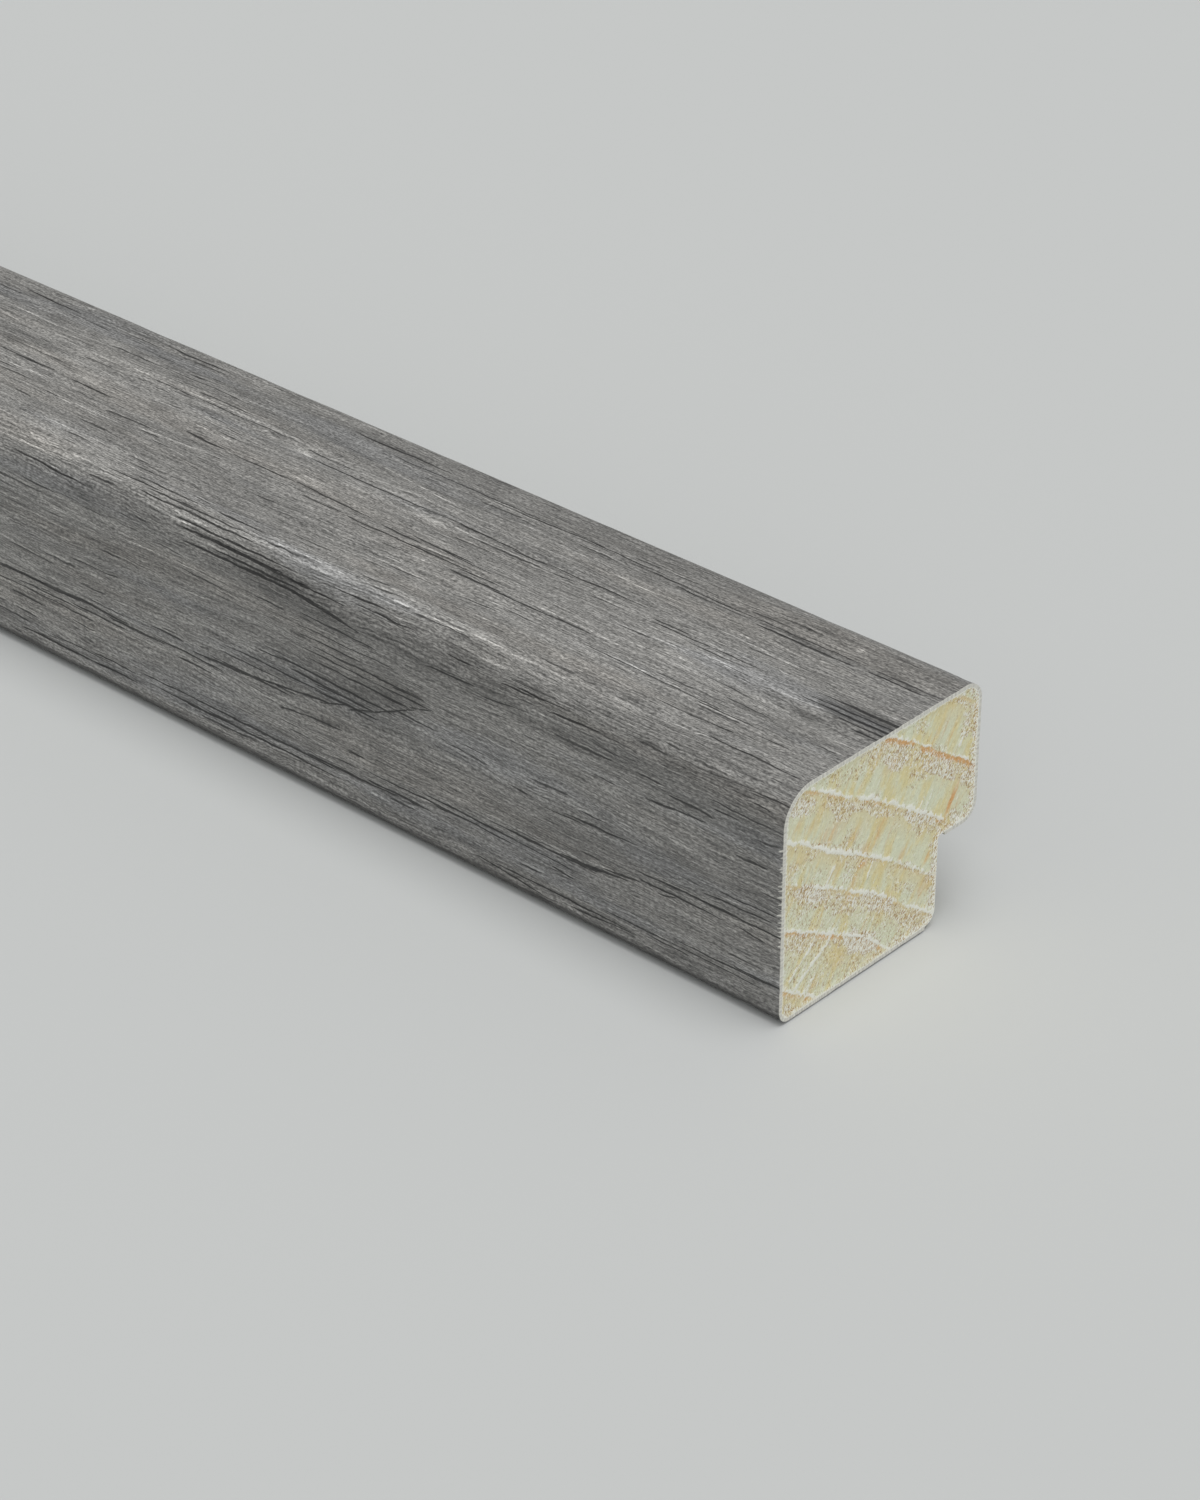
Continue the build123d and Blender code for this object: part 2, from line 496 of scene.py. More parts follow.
def press_in(tree, shader, height, depth, strength):
    """Gives the surface a fine relief, from a height of 0 to 1 and its depth in millimetres."""
    bump = add_node(tree, "ShaderNodeBump", {"Height": height, "Distance": depth * mm, "Strength": strength})
    tree.links.new(bump.outputs[0], shader.inputs["Normal"])


# The sawn ends: white and brown fibre ends a fifth of a millimetre across, and torn fibres over them
sawn, tree, shader = new_finish("sawn_pine_end", 0.85)
colour, place = pine_colour(tree, ray_strength=0.4)
grit = streaks(tree, place, length=0.2, width=0.15, detail=2, roughness=0.7, depth=0.3)
speckles = streaks(tree, place, length=0.2, width=0.15, detail=2, roughness=0.7, depth=0.3, shift=4)
torn_thick = read_note(tree, "torn_fibre").outputs["Fac"]
fuzz_thick = read_note(tree, "fine_fuzz").outputs["Fac"]
brown_share, white_share, dot_spread, dot_edge = 0.6, 0.58, 2.4, 0.15
colour = blend(tree, 1.0, colour, grey_of(tree, carried(tree, grit, 0.93, 1.06)), "MULTIPLY")
brown_dots = covered(tree, math_of(tree, "MULTIPLY", fuzz_thick, brown_share), speckles, dot_spread, dot_edge)
colour = lay_grains(tree, brown_dots, 0.9, colour, speckle_brown)
white_dots = covered(tree, math_of(tree, "MULTIPLY", fuzz_thick, white_share), grit, dot_spread, dot_edge)
colour = lay_grains(tree, white_dots, 0.95, colour, torn_white)
colour = lay_grains(tree, covered(tree, torn_thick, grit, 2.0, 0.2), 0.9, colour, torn_white)
tree.links.new(colour, shader.inputs["Base Color"])
press_in(tree, shader, grit, 0.08, 0.7)
shader.inputs["Specular IOR Level"].default_value = 0.2
pine_core.data.materials.append(sawn)

# The planed sides, where the fibres lie along the moulding
planed, tree, shader = new_finish("planed_pine_side", 0.6)
colour, place = pine_colour(tree, ray_strength=0.25)
fibres = streaks(tree, place, length=9, width=0.25, detail=3, depth=0.25)
colour = blend(tree, 1.0, colour, grey_of(tree, carried(tree, fibres, 0.88, 1.05)), "MULTIPLY")
tree.links.new(colour, shader.inputs["Base Color"])
press_in(tree, shader, fibres, 0.03, 0.6)
shader.inputs["Specular IOR Level"].default_value = 0.3
pine_core.data.materials.append(planed)

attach(pine_core, "root")
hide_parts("pine_core")

# Decor foil
# A strip of paper foil, printed with grey wood and embossed with its pores, glued round the core. It runs
# from the heel under the wall face, up the front, over the top and round the lip. Its cut edge is white.
foil_edge_gap = 0.6
wall_pitch, show_pitch, lip_pitch, under_lip_pitch = 0.9, 0.27, 0.5, 0.7
foil_corners = [
    (rebate_y - heel_radius, foil_low.z),
    (foil_low.y, foil_low.z),
    (foil_low.y, foil_high.z),
    (foil_high.y, foil_high.z),
    (foil_high.y, rebate_height),
    (rebate_y + rebate_corner_radius + foil_edge_gap, rebate_height),
]
foil_pitches = [wall_pitch, show_pitch, show_pitch, lip_pitch, under_lip_pitch]
face, outward, walked = rounded_path(foil_corners, wrapped_radii, foil_pitches)
column_count = len(face)

# Rows across the strip: closest at the sawn ends, close over the show end, and wide apart on the long rest
length = foil_high.x - foil_low.x
show_length, cut_zone = 150.0, 6.0
cut_pitch, show_row_pitch, rest_pitch, growth = 0.12, 1.15, 11.5, 1.09
near_rows, pitch = [0.0], cut_pitch
while near_rows[-1] < show_length:
    near_rows.append(near_rows[-1] + pitch)
    pitch = min(pitch * growth, show_row_pitch)
far_cut = [length - row for row in reversed(near_rows) if row < cut_zone]
rest_count = round((far_cut[0] - near_rows[-1]) / rest_pitch)
rest_rows = np.linspace(near_rows[-1], far_cut[0], rest_count + 1)[1:-1]
from_end = np.array([*near_rows, *rest_rows, *far_cut])
row_count = len(from_end)

# Marks of the print near the show end: place from that end, place up from the foot over the front and top,
# length, width, tilt, and strength. First the black cracks of the grain, lowest first.
dark_marks = [
    (24, 0.5, 11, 0.25, -0.05, 0.6), (35, 0.4, 9, 0.25, 0.1, 0.8), (29, 1, 17, 0.25, 0, 1),
    (104, 1, 11, 0.35, 0, 0.8), (94, 1.1, 7, 0.3, 0, 1), (8, 1.9, 13, 0.2, 0, 0.8),
    (18, 1.9, 9, 0.2, 0, 0.9), (74, 1.8, 27, 0.35, 0, 1), (94, 2.2, 7, 0.3, 0, 0.75),
    (100, 1.9, 10, 0.2, -0.01, 0.7), (2, 2.8, 8, 0.3, 0, 0.75), (8, 2.6, 12, 0.25, 0, 0.6),
    (84, 2.7, 12, 0.2, 0, 0.7), (70, 2.7, 20, 0.3, 0, 1), (58, 3, 13, 0.3, -0.02, 1),
    (51, 3.4, 9, 0.3, 0, 1), (28, 3.9, 3, 0.3, 0.1, 0.7), (45, 4.4, 21, 0.25, 0, 1),
    (30, 4.8, 9, 0.2, 0.02, 0.7), (40, 5, 14, 0.28, 0.01, 1), (31, 5.8, 13, 0.28, 0, 1),
    (26, 6, 5, 0.3, 0, 0.75), (23, 6.3, 7, 0.35, -0.12, 1), (20, 7, 5, 0.3, -0.1, 0.9),
    (14.5, 7.1, 3, 0.25, -0.2, 0.45), (13, 7.6, 11, 0.3, 0, 0.8), (4, 7.5, 4, 0.2, 0.1, 0.8),
    (7, 8.6, 17, 0.3, 0, 0.8), (5, 9.8, 9, 0.3, -0.05, 0.5), (4, 10.7, 9, 0.25, -0.02, 0.5),
    (23, 11.1, 10, 0.25, -0.03, 0.8), (28, 10.6, 5, 0.2, -0.04, 0.7), (108, 5.1, 6, 0.3, 0, 0.75),
    (57, 5.8, 2.5, 0.3, 0, 0.6), (99, 6.2, 4, 0.3, 0, 0.6), (106, 6.3, 12, 0.2, 0, 0.6),
    (104, 6.9, 13, 0.25, 0, 0.7), (81, 7, 5, 0.3, 0, 0.9), (96, 7.2, 9, 0.3, 0, 0.8),
    (66, 7.3, 4, 0.25, -0.1, 0.8), (62, 7.7, 6, 0.3, -0.05, 0.9), (90, 7.8, 9, 0.35, 0, 1),
    (82, 8, 11, 0.3, 0, 0.9), (98, 8.1, 13, 0.35, 0, 0.9), (107, 7.9, 15, 0.35, 0, 1),
    (77, 8.8, 9, 0.3, -0.05, 0.9), (85, 9.3, 5, 0.3, 0, 0.9), (72, 9.1, 12, 0.3, 0, 0.75),
    (68, 9.6, 8, 0.3, -0.1, 0.75), (63, 10.2, 6, 0.3, -0.1, 0.75), (72, 10.4, 11, 0.2, 0, 0.8),
    (60, 10.6, 5, 0.25, -0.3, 0.45), (58, 11.2, 9, 0.3, 0, 1), (68, 11.4, 15, 0.25, 0, 1),
    (56, 11.4, 4, 0.25, -0.35, 0.45), (58, 12, 9, 0.3, 0, 1), (63, 12.3, 7, 0.3, 0.03, 0.9),
    (53, 12.5, 5, 0.25, -0.45, 0.45), (60, 13, 17, 0.3, 0.02, 1), (67, 13, 8, 0.25, -0.02, 0.9),
    (50, 13.8, 5, 0.25, -0.45, 0.45), (57, 14.6, 13, 0.25, 0.02, 0.8), (51, 14.4, 4, 0.3, 0, 0.8),
    (47.5, 15, 4, 0.25, -0.3, 0.45), (50, 15.5, 9, 0.2, 0, 0.7), (59, 15.6, 13, 0.2, 0.02, 0.7),
    (49, 16.1, 5, 0.3, 0, 0.75), (55, 16.3, 15, 0.25, 0, 1), (12, 17.5, 5, 0.25, -0.05, 0.9),
    (15.5, 17.2, 4, 0.3, -0.06, 1), (60, 17.2, 11, 0.2, 0, 0.6), (58, 18.2, 15, 0.2, 0, 0.7),
    (79, 18.2, 8, 0.2, 0.02, 0.6), (59, 19.6, 11, 0.25, 0.02, 0.9), (36, 20.2, 6, 0.2, -0.1, 0.7),
    (43, 20.6, 6, 0.3, -0.05, 0.8), (59, 20.9, 7, 0.3, 0.12, 0.75), (63, 21.4, 9, 0.3, 0.08, 0.75),
    (27, 21.8, 7, 0.25, -0.06, 0.8), (67, 21.7, 11, 0.3, 0.03, 1), (74, 21.7, 15, 0.3, 0, 1),
    (71, 22.2, 13, 0.3, 0.01, 1), (31, 22.5, 7, 0.2, 0, 0.6), (42, 22.6, 5, 0.2, 0, 0.6),
    (69, 22.8, 11, 0.3, 0.03, 0.9), (62, 22.7, 7, 0.2, 0.03, 0.8), (104, 22.8, 13, 0.3, 0.03, 0.7),
    (75, 23, 15, 0.35, 0, 1), (53, 23.3, 9, 0.2, 0, 0.6), (76, 23.7, 16, 0.3, 0, 1),
    (56, 24, 5, 0.3, -0.05, 0.8), (82, 24.7, 18, 0.25, 0, 0.9), (82, 25.3, 16, 0.25, 0, 0.8),
    (92, 25.6, 9, 0.2, 0, 0.8), (77, 26.3, 6, 0.3, 0, 0.8), (88, 26.2, 11, 0.25, 0, 0.7),
    (7, 26.4, 14, 0.25, 0.02, 0.6), (92, 27.6, 7, 0.15, 0, 0.5), (12.5, 28.4, 3, 0.25, 0, 0.9),
    (7, 29.6, 5, 0.3, 0, 0.4), (14, 30.6, 9, 0.2, 0.02, 0.6), (20, 31, 11, 0.2, 0.03, 0.5),
    (28, 31.3, 11, 0.2, 0.03, 0.7), (36, 33.4, 5, 0.3, 0, 0.75), (42, 33.3, 11, 0.25, 0, 1),
    (50, 33.5, 7, 0.35, 0, 1), (50, 34.3, 6, 0.25, 0, 0.8), (58, 34.6, 13, 0.3, 0, 0.9),
    (66, 34.6, 7, 0.3, 0, 0.9), (73, 34.8, 7, 0.3, 0, 0.6), (62, 35.6, 6, 0.3, 0, 0.7),
    (53, 35.8, 7, 0.2, 0.05, 0.7), (57, 36.1, 9, 0.25, 0, 0.9), (73, 36.2, 12, 0.3, 0.04, 0.75),
    (84, 36.3, 10, 0.25, 0, 0.7), (93, 36.5, 7, 0.35, 0.05, 0.7), (111, 36.8, 8, 0.3, 0, 0.75),
    (122, 37, 10, 0.35, 0, 0.6), (1, 36.5, 6, 0.3, 0, 0.5), (2, 37.3, 7, 0.3, 0, 0.6),
    (2, 38.1, 18, 0.35, 0, 1), (4, 38.8, 14, 0.3, -0.02, 0.6), (22, 38.6, 8, 0.2, 0, 0.7),
    (24, 39.3, 17, 0.2, 0, 0.6), (29, 39.8, 6, 0.3, 0, 0.6), (1, 39.7, 17, 0.4, 0, 1),
    (49, 40.8, 5, 0.3, 0, 1), (40, 41, 15, 0.25, 0, 0.8), (56, 41.2, 13, 0.2, 0.03, 0.7),
    (71, 41.2, 22, 0.28, 0, 0.8), (80, 42.4, 9, 0.2, 0, 0.6), (98, 43, 25, 0.22, 0, 0.6),
    (5, 45.9, 13, 0.25, 0, 0.4), (17, 45.8, 13, 0.35, 0, 0.9), (29, 46.2, 10, 0.2, 0, 0.7),
    (17.5, 46.7, 15, 0.22, 0, 1), (28, 46.7, 12, 0.2, 0, 0.9), (36, 46.9, 11, 0.2, 0.01, 0.9),
    (43, 47.4, 13, 0.2, 0.02, 0.9), (52, 47.4, 15, 0.2, -0.02, 0.8), (64, 47.6, 24, 0.2, 0, 0.7),
    (75, 48.8, 14, 0.3, 0, 0.9), (108, 49.6, 9, 0.3, 0, 0.7), (131, 48.9, 10, 0.3, 0.02, 0.75),
]

# Then the pale marks beside them: partly the print's pale scratches and grain lines, partly painted highlights
# where light would catch the major cracks
pale_marks_and_highlights = [
    (28, 6.4, 4, 0.45, 0, 0.8), (24, 6.8, 8, 0.2, -0.05, 0.6), (102, 16.3, 9, 0.2, 0.05, 0.7),
    (90, 14.5, 8, 0.2, 0.02, 0.6), (100, 18.2, 6, 0.22, 0, 0.8), (81, 18.8, 9, 0.2, 0.02, 0.6),
    (88, 18.7, 7, 0.2, 0, 0.6), (28, 21.2, 7, 0.25, -0.05, 0.7), (84, 23.4, 4, 0.3, 0, 1),
    (38, 23.8, 5, 0.3, 0, 1), (21, 23.9, 3, 0.25, 0, 0.7), (108, 24.1, 11, 0.2, 0, 0.9),
    (95, 24.7, 4, 0.3, 0, 0.9), (104, 25.2, 13, 0.5, 0, 0.54), (27, 25.3, 6, 0.3, 0, 0.48),
    (31, 25.5, 4, 0.35, 0, 0.6), (35, 25.5, 6, 0.3, 0, 0.6), (41, 25.6, 7, 0.3, 0, 0.6),
    (46, 25.4, 6, 0.3, 0, 0.54), (64, 25.8, 14, 0.2, 0.02, 0.42), (104, 28.7, 19, 0.3, 0, 1),
    (44, 28.4, 7, 0.25, 0, 0.7), (57, 30.2, 10, 0.25, 0, 0.8), (18, 30.7, 5, 0.25, 0, 0.9),
    (25, 31.4, 11, 0.25, 0.03, 1), (107, 33, 12, 0.35, -0.03, 0.8), (58, 33, 6, 0.25, 0, 0.7),
    (38, 33.8, 9, 0.22, 0, 1), (94, 34.3, 14, 0.35, -0.08, 1), (120, 35.1, 7, 0.35, 0, 0.8),
    (25, 35.6, 6, 0.35, 0, 0.8), (26, 37, 6, 0.35, 0, 0.7), (21, 37.6, 5, 0.5, 0, 0.8),
    (77, 37.9, 5, 0.5, 0, 1), (92, 38.4, 11, 0.25, 0, 0.8), (57, 40.4, 7, 0.4, 0, 0.9),
    (83, 41.5, 4, 0.4, 0.1, 0.8), (14.5, 42, 7, 0.25, 0.03, 0.8), (21, 42.3, 8, 0.25, 0.03, 0.9),
    (37, 43.8, 7, 0.3, 0.03, 0.9), (68, 44.4, 16, 0.25, 0.1, 1), (97, 43.4, 16, 0.2, 0, 0.7),
    (130, 45, 12, 0.25, 0.02, 0.8), (60, 46.6, 0.35, 2.6, 0, 1), (56, 47.1, 14, 0.3, 0, 1),
    (12, 48.6, 1.2, 1.2, 0, 0.6),
]

# Broad parts of the print that are darker or paler than the rest, given as the marks are, with the tone last
toned_patches = [
    (12, 21.2, 44, 3, 0, -0.22), (44, 21.6, 40, 2.4, 0, -0.2), (66, 21.6, 26, 2.6, 0.04, -0.28),
    (90, 22, 30, 1.4, 0, -0.12), (55, 13.4, 18, 3, -0.2, -0.26), (60, 12, 24, 3.4, 0, -0.18),
    (20, 9, 40, 3, -0.1, -0.1), (3, 38.6, 13, 1.8, 0, -0.32), (40, 48.6, 120, 4, 0, -0.12),
    (110, 48.4, 70, 4, 0, -0.08), (20, 36.6, 30, 3, 0, 0.11), (76, 38.5, 40, 4, 0, 0.1),
    (112, 39.5, 44, 5, 0, 0.1), (60, 26, 90, 1.6, 0, 0.1), (104, 26, 30, 2, 0, 0.16),
    (40, 32, 50, 4, 0, 0.03), (88, 15.5, 40, 5, 0, 0), (40, 2, 90, 1.6, 0, -0.06),
    (4, 16, 14, 6, 0, -0.06),
]

# How often the patches repeat on the rest of the strip, and how deep marks, pores and slow waves are pressed
repeats = 22
mark_groove = 0.07
pore_groove = 0.045
slow_groove = 0.03


def add_repeats(patches, chance):
    """The same kinds of patch, strewn at random over the rest of the strip and the faces out of sight."""
    strewn = list(patches)
    for _ in range(len(patches) * repeats):
        _, _, size, width, tilt, tone = patches[chance.integers(len(patches))]
        place = chance.uniform(0, length)
        across = chance.uniform(-front_start, walked[-1] - front_start)
        if place > show_length or not -1.0 < across < front_top_width:
            strewn.append((place, across, size * chance.uniform(0.8, 2.0), width, tilt, tone))
    return strewn


def draw_marks(marks, widest_taper=0.7, narrowest=0.0):
    """Each mark as a spindle along the strip, drawn into one field of rows and columns. The boldest wins."""
    field = np.zeros((row_count, column_count))
    for place, across, size, width, tilt, strength in marks:
        picked = np.abs(from_end - place) < 0.75 * size
        off = (from_end[picked] - place)[:, None]
        taper = np.clip(1 - (2 * off / size) ** 2, 0, 1)
        aside = up_strip[None, :] - across - tilt * off
        spread = max(width, narrowest) * (0.3 + (widest_taper - 0.3) * taper)
        spindle = strength * np.sqrt(taper) * np.exp(-((aside / spread) ** 2))
        bolder = np.abs(spindle) > np.abs(field[picked])
        field[picked] = np.where(bolder, spindle, field[picked])
    return field


front_start = walked[np.argmin(np.hypot(*(face - [foil_low.y, foil_low.z + foot_radius]).T))]
top_end = walked[np.argmin(np.hypot(*(face - [foil_high.y - lip_top_radius, foil_high.z]).T))]
front_top_width = top_end - front_start + 1.0
up_strip = walked - front_start
place_grid, strip_grid = np.meshgrid(from_end, up_strip, indexing="ij")
dark = draw_marks(dark_marks, narrowest=0.5)
patch_tone = draw_marks(add_repeats(toned_patches, np.random.default_rng(31)), widest_taper=1.0)

# The embossing: marks and pores pressed below the face, fading out where the strip ends
pores = ramp(blotches(place_grid / 3.2 + 0.3 * strip_grid, strip_grid / 0.42, 51), 0.6, 0.9)
slow_wave = blotches(place_grid / 26, strip_grid / 2.4, 52)
strip_edge = ramp(np.minimum(walked, walked[-1] - walked), 0.0, 1.5)[None, :]
sunk = (mark_groove * dark + pore_groove * pores + slow_groove * slow_wave) * strip_edge

# The closed strip: its embossed outside, its smooth inside, its two cut ends and its two long edges
outside = np.empty((row_count, column_count, 3))
outside[..., 0] = foil_high.x - from_end[:, None]
outside[..., 1:] = face[None] - outward[None] * sunk[..., None]
inside = np.empty((2, column_count, 3))
inside[..., 0] = np.array([foil_high.x, foil_low.x])[:, None]
inside[..., 1:] = (face - outward * foil_thickness)[None]
outside_at = np.arange(row_count * column_count).reshape(row_count, column_count)
inside_at = outside_at.size + np.arange(2 * column_count).reshape(2, column_count)


def strip_faces(near, far):
    """Quads between two rows of points, with the strip's outside up."""
    return np.stack([near[:-1], near[1:], far[1:], far[:-1]], -1).reshape(-1, 4)


def strip_map(near_u, far_u, low_v, high_v):
    """Where those quads lie on the bake's layout: along by row, and across by the distance walked."""
    across = low_v + (high_v - low_v) * walked / walked[-1]
    near, far = np.full(column_count, near_u), np.full(column_count, far_u)
    low, high = across[:-1], across[1:]
    corners = [(near[:-1], low), (near[1:], high), (far[1:], high), (far[:-1], low)]
    return np.stack([np.stack(corner, -1) for corner in corners], 1).reshape(-1, 2)


tile_starts = np.array([0.0, show_length, show_length + 750, show_length + 1500, length + 1])
tile_bands = [(0.01, 0.30), (0.315, 0.515), (0.53, 0.73), (0.745, 0.945)]
faces, face_maps = [], []
row_tile = np.searchsorted(tile_starts, from_end[:-1] + 0.01, side="right") - 1
for row in range(row_count - 1):
    tile = row_tile[row]
    tile_rows = np.flatnonzero(row_tile == tile)
    first, last = from_end[tile_rows[0]], from_end[tile_rows[-1] + 1]
    near_u, far_u = (0.005 + 0.99 * (from_end[row + part] - first) / (last - first) for part in (0, 1))
    faces.extend(map(tuple, strip_faces(outside_at[row], outside_at[row + 1]).tolist()))
    face_maps.append(strip_map(near_u, far_u, *tile_bands[tile]))
faces.extend(map(tuple, strip_faces(inside_at[1], inside_at[0]).tolist()))
face_maps.append(strip_map(0.01, 0.99, 0.992, 0.998))
faces.extend(map(tuple, strip_faces(inside_at[0], outside_at[0]).tolist()))
face_maps.append(strip_map(0.0, 0.0, 0.955, 0.955))
cut_map = face_maps[-1].reshape(-1, 4, 2)
cut_map[..., 0] = np.stack([walked[:-1], walked[1:], walked[1:], walked[:-1]], 1) / walked[-1] * 0.98 + 0.01
cut_map[:, :2, 1], cut_map[:, 2:, 1] = 0.952, 0.966
faces.extend(map(tuple, strip_faces(outside_at[-1], inside_at[1]).tolist()))
cut_map = cut_map.copy()
cut_map[:, :2, 1], cut_map[:, 2:, 1] = 0.986, 0.972
face_maps.append(cut_map.reshape(-1, 2))
faces.append(tuple([*outside_at[:, 0], inside_at[1, 0], inside_at[0, 0]]))
faces.append(tuple([*outside_at[::-1, -1], inside_at[0, -1], inside_at[1, -1]]))
for low_v, travel in ((0.9885, from_end), (0.9905, from_end[::-1])):
    edge_u = 0.01 + 0.98 * np.append(travel, [travel[-1], travel[0]]) / length
    edge_v = np.append(np.full(row_count, low_v), [low_v + 0.001] * 2)
    face_maps.append(np.stack([edge_u, edge_v], -1))

points = np.concatenate([outside.reshape(-1, 3), inside.reshape(-1, 3)])
foil = build_piece("wrapped_decor_foil", points, faces, face_maps, 40)
outside_count, inside_count = place_grid.size, 2 * column_count
along_strip = np.append(place_grid.ravel(), np.repeat([0, length], column_count))
over_strip = np.append(strip_grid.ravel(), np.tile(up_strip, 2))
note_on_points(foil, "strip_place", np.column_stack([along_strip, over_strip, np.zeros(len(points))]))
note_on_points(foil, "patch_tone", np.append(patch_tone.ravel(), np.zeros(inside_count)))
note_on_points(foil, "into_cut", np.append(np.zeros(outside_count), np.ones(inside_count)))

# Colours of the print and of the paper under it, as a screen shows them
print_grey = (128, 127, 124)
print_warm = (128, 126, 122)
print_cool = (126, 126, 125)
paper_white = (218, 217, 208)

printed, tree, shader = new_finish("grey_wood_print_foil", 0.56)
strip = read_note(tree, "strip_place").outputs["Vector"]


def product(tree, *values):
    """All the values multiplied together."""
    whole = values[0]
    for value in values[1:]:
        whole = math_of(tree, "MULTIPLY", whole, value)
    return whole


def new_mark_group():
    """Nodes for one mark: its strength on its middle line, none at its edge, or what lies under it."""
    group = bpy.data.node_groups.new("print_mark", "ShaderNodeTree")
    sizes = ("Place", "Height", "Half length", "Half width", "Tilt", "Strength")
    for name in ("Along", "Up", *sizes, "Under"):
        group.interface.new_socket(name, in_out="INPUT", socket_type="NodeSocketFloat")
    group.interface.new_socket("Level", in_out="OUTPUT", socket_type="NodeSocketFloat")
    given = group.nodes.new("NodeGroupInput").outputs
    ahead = math_of(group, "SUBTRACT", given["Along"], given["Place"])
    aside = math_of(group, "SUBTRACT", given["Up"], given["Height"])
    aside = math_of(group, "SUBTRACT", aside, math_of(group, "MULTIPLY", ahead, given["Tilt"]))
    ahead = math_of(group, "DIVIDE", ahead, given["Half length"])
    aside = math_of(group, "DIVIDE", aside, given["Half width"])
    out = math_of(group, "MULTIPLY_ADD", aside, aside, math_of(group, "MULTIPLY", ahead, ahead))
    level = math_of(group, "MULTIPLY", math_of(group, "SUBTRACT", 1.0, out), given["Strength"])
    result = group.nodes.new("NodeGroupOutput")
    group.links.new(math_of(group, "MAXIMUM", level, given["Under"]), result.inputs[0])
    return group


mark_group = new_mark_group()


def mark_level(tree, along, up, marks):
    """How deep inside a mark a point lies: 0 outside all marks, a mark's strength on its middle line."""
    deepest = 0.0
    for from_show_end, height, size, width, tilt, strength in marks:
        inputs = {"Along": along, "Up": up, "Under": deepest, "Place": from_show_end, "Height": height}
        inputs.update({"Half length": 0.58 * size, "Half width": 0.5 * width})
        inputs.update({"Tilt": tilt, "Strength": strength})
        deepest = add_node(tree, "ShaderNodeGroup", inputs, node_tree=mark_group).outputs[0]
    return deepest


def broken_lines(tree, along, across, spacing, half_width, run, starts_at, seed, more=0.0):
    """Thin lines along the strip, each broken into runs that taper, with a painted highlight at one side,
    where light would catch the groove's wall.
    """
    line_step = 7.31
    soft = 0.05
    phase = math_of(tree, "DIVIDE", across, spacing)
    line = math_of(tree, "FLOOR", phase)
    off = product(tree, math_of(tree, "SUBTRACT", math_of(tree, "SUBTRACT", phase, line), 0.5), spacing)
    inputs = {0: math_of(tree, "DIVIDE", along, run), 1: product(tree, line, line_step), 2: seed}
    at = add_node(tree, "ShaderNodeCombineXYZ", inputs).outputs[0]
    runs = add_node(tree, "ShaderNodeTexNoise", {"Vector": at, "Scale": 1.0, "Detail": 1.0}).outputs["Fac"]
    thick = between(tree, math_of(tree, "ADD", runs, more), starts_at, starts_at + 0.1)
    reach = math_of(tree, "MULTIPLY_ADD", thick, half_width + soft, -soft)
    dark = between(tree, math_of(tree, "SUBTRACT", reach, math_of(tree, "ABSOLUTE", off)), -soft, soft)
    # Painted highlight: a pale line beside each dark line, standing in for light caught on the groove's wall
    beside = math_of(tree, "ABSOLUTE", math_of(tree, "SUBTRACT", off, 2.2 * half_width))
    painted_highlight = between(tree, math_of(tree, "SUBTRACT", reach, beside), -soft, soft)
    return dark, painted_highlight


def toned(tree, cover, tone):
    """A share of the print's light: all of it where cover is 0, and tone times as much where cover is 1."""
    return between(tree, cover, 0.0, 1.0, 1.0, tone)


# The grain's lines wander a little up and down the strip
along, up = add_node(tree, "ShaderNodeSeparateXYZ", {0: strip}).outputs[:2]
drift = add_share(tree, up, streaks(tree, strip, length=60, width=9), 3.5)
drift = add_share(tree, drift, streaks(tree, strip, length=12, width=2.4, shift=8), 0.9)
ripple = streaks(tree, strip, length=1.8, width=0.7, detail=1, roughness=0.6, shift=9)
drift = add_share(tree, drift, ripple, 0.3)
flow = add_node(tree, "ShaderNodeCombineXYZ", {0: along, 1: drift, 2: 0.0}).outputs[0]
wobble = add_share(tree, up, streaks(tree, strip, length=4, width=1.2, roughness=0.6, shift=8), 0.5)

# Four sizes of grain, from broad bands to single specks
broad = carried(tree, streaks(tree, flow, length=60, width=2.2, detail=3), 0.88, 1.16)
narrow = carried(tree, streaks(tree, flow, length=18, width=0.45, detail=3, roughness=0.6), 0.84, 1.2)
fibre_noise = streaks(tree, flow, length=5, width=0.2, roughness=0.6)
fibre = carried(tree, fibre_noise, 0.66, 1.38)
speck_noise = streaks(tree, flow, length=0.5, width=0.15, roughness=0.6, shift=2)
speck = carried(tree, speck_noise, 0.52, 1.5)

# Painted shade: the print's colour is darkened where it turns under at the foot, standing in for the shade
# near the floor
painted_foot_shade = between(tree, up, -0.6, 0.3, 0.3, 1.0)

# The show edge is rubbed: more short lines stand out along its rounding
edge_middle = 24.0
from_edge = math_of(tree, "ABSOLUTE", math_of(tree, "SUBTRACT", up, edge_middle))
edge_rub = between(tree, from_edge, 3.2, 0.8, 0.0, 0.07)
crack_patch = between(tree, streaks(tree, flow, length=45, width=3.5, shift=12), 0.45, 0.65, -0.06, 0.06)
more_cracks = math_of(tree, "ADD", crack_patch, edge_rub)
crack, crack_painted_highlight = broken_lines(
    tree, along, drift, spacing=0.9, half_width=0.1, run=9, starts_at=0.57, seed=3.1, more=more_cracks
)
pore, _ = broken_lines(
    tree, along, drift, spacing=0.37, half_width=0.07, run=2.6, starts_at=0.53, seed=5.7, more=edge_rub
)
scratch, _ = broken_lines(
    tree, along, drift, spacing=0.75, half_width=0.08, run=4.5, starts_at=0.6, seed=8.3, more=edge_rub
)

